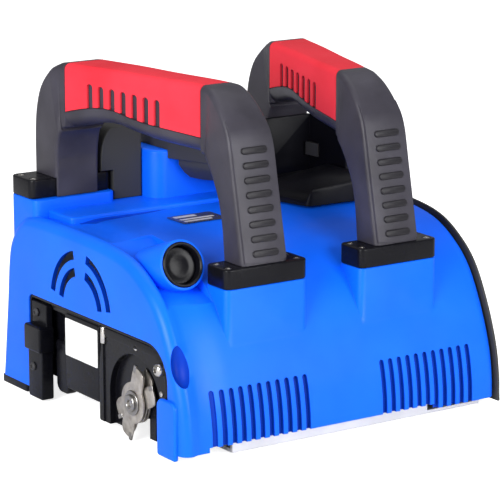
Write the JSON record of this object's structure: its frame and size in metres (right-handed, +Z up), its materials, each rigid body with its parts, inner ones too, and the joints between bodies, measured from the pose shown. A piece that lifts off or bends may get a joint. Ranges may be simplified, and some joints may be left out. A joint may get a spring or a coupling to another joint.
{
  "type": "wall chaser",
  "caption": "Two-handled wall chaser with a blue casing, a side-mounted milling cutter on a sprung plunge arm, guide rollers and a dust port.",
  "frame": {"origin": "On the floor under the middle of the machine's box.", "axes": "X runs along the front face from the cutter side to the blank side, Y from the front to the back, Z up."},
  "size_m": [0.3278, 0.305, 0.2905],
  "materials": {
    "casing": "Bright blue moulded plastic with a soft gloss.",
    "black_moulding": "Black glass-filled plastic with a fine grain.",
    "dark_moulding": "Very dark grey moulded plastic.",
    "grip": "Bright red moulded plastic with a fine grain.",
    "steel": "Machined and plated steel.",
    "cutter": "Ground tool steel, warm grey.",
    "sole": "Milled aluminium sheet, pale.",
    "label": "Plain white label film.",
    "deck_label": "Plain grey label film.",
    "rubber": "Black rubber.",
    "winding": "Copper winding and bars.",
    "core": "Laminated core steel.",
    "carbon": "Carbon brush in its holder."
  },
  "bodies": {
    "machine": {"body_shell": "casing", "base_plate": "sole", "right_side_plate": "black_moulding", "opening_frame": "black_moulding", "cutter_guard": "black_moulding", "pivot_bracket": "black_moulding", "port_liner": "black_moulding", "port_plug": "rubber", "deck_label": "deck_label", "air_housing": "black_moulding", "rear_hood": "dark_moulding", "motor_hood": "black_moulding", "switch_box": "black_moulding", "cable_gland": "rubber", "handle_left": "black_moulding", "handle_right": "black_moulding", "grip_cover_left": "grip", "grip_cover_right": "grip", "front_foot_left": "black_moulding", "front_foot_right": "black_moulding", "rear_foot_left": "black_moulding", "rear_foot_right": "black_moulding", "bracket_screw_upper": "steel", "bracket_screw_lower": "steel", "depth_stop_screw": "steel", "guard_pivot_pin": "steel", "stator_core": "core", "motor_shield_left": "sole", "motor_shield_right": "sole", "motor_bearing_left": "steel", "motor_bearing_right": "steel", "brush_holder_top": "carbon", "brush_holder_bottom": "carbon", "front_axle": "steel", "rear_axle": "steel", "return_spring": "steel"},
    "plunge_arm": {"arm_case": "dark_moulding", "arm_lid": "black_moulding", "arm_label": "label", "spindle_bearing_inner": "steel", "spindle_bearing_outer": "steel", "drive_belt": "rubber"},
    "motor_rotor": {"motor_shaft": "steel", "rotor_core": "winding", "commutator": "winding", "cooling_fan": "dark_moulding", "motor_pulley": "steel"},
    "spindle": {"spindle_shaft": "steel", "spindle_pulley": "steel", "cutter_plate_1": "cutter", "cutter_plate_2": "cutter", "cutter_plate_3": "cutter", "cutter_spacer_1": "steel", "cutter_spacer_2": "steel", "cutter_bolt": "steel"},
    "front_roller_left": {"front_roller_left": "rubber"},
    "front_roller_right": {"front_roller_right": "rubber"},
    "rear_roller_left": {"rear_roller_left": "rubber"},
    "rear_roller_right": {"rear_roller_right": "rubber"},
    "power_switch": {"power_switch": "dark_moulding"}
  },
  "joints": [
    {"name": "plunge", "type": "hinge", "parent": "machine", "child": "plunge_arm", "pos_m": [-0.1314, 0.084, 0.05], "axis": [1, 0, 0], "range_deg": [0, 7], "stiffness_Nm_per_rad": 8, "springref_deg": -20.05},
    {"name": "rotor_spin", "type": "hinge", "parent": "machine", "child": "motor_rotor", "pos_m": [-0.0314, 0.084, 0.05], "axis": [1, 0, 0], "continuous": true},
    {"name": "spindle_spin", "type": "hinge", "parent": "plunge_arm", "child": "spindle", "pos_m": [-0.1364, -0.072, 0.035], "axis": [1, 0, 0], "continuous": true},
    {"name": "front_roller_left_spin", "type": "hinge", "parent": "machine", "child": "front_roller_left", "pos_m": [-0.0784, -0.112, 0.009], "axis": [1, 0, 0], "continuous": true},
    {"name": "front_roller_right_spin", "type": "hinge", "parent": "machine", "child": "front_roller_right", "pos_m": [0.1216, -0.112, 0.009], "axis": [1, 0, 0], "continuous": true},
    {"name": "rear_roller_left_spin", "type": "hinge", "parent": "machine", "child": "rear_roller_left", "pos_m": [-0.0784, 0.112, 0.009], "axis": [1, 0, 0], "continuous": true},
    {"name": "rear_roller_right_spin", "type": "hinge", "parent": "machine", "child": "rear_roller_right", "pos_m": [0.1216, 0.112, 0.009], "axis": [1, 0, 0], "continuous": true},
    {"name": "power_rocker", "type": "hinge", "parent": "machine", "child": "power_switch", "pos_m": [0.1326, 0.08, 0.19], "axis": [0, 0, -1], "range_deg": [0, 9]}
  ],
  "couplings": [
    {"joint": "spindle_spin", "follows": "rotor_spin", "ratio": 1.2}
  ]
}
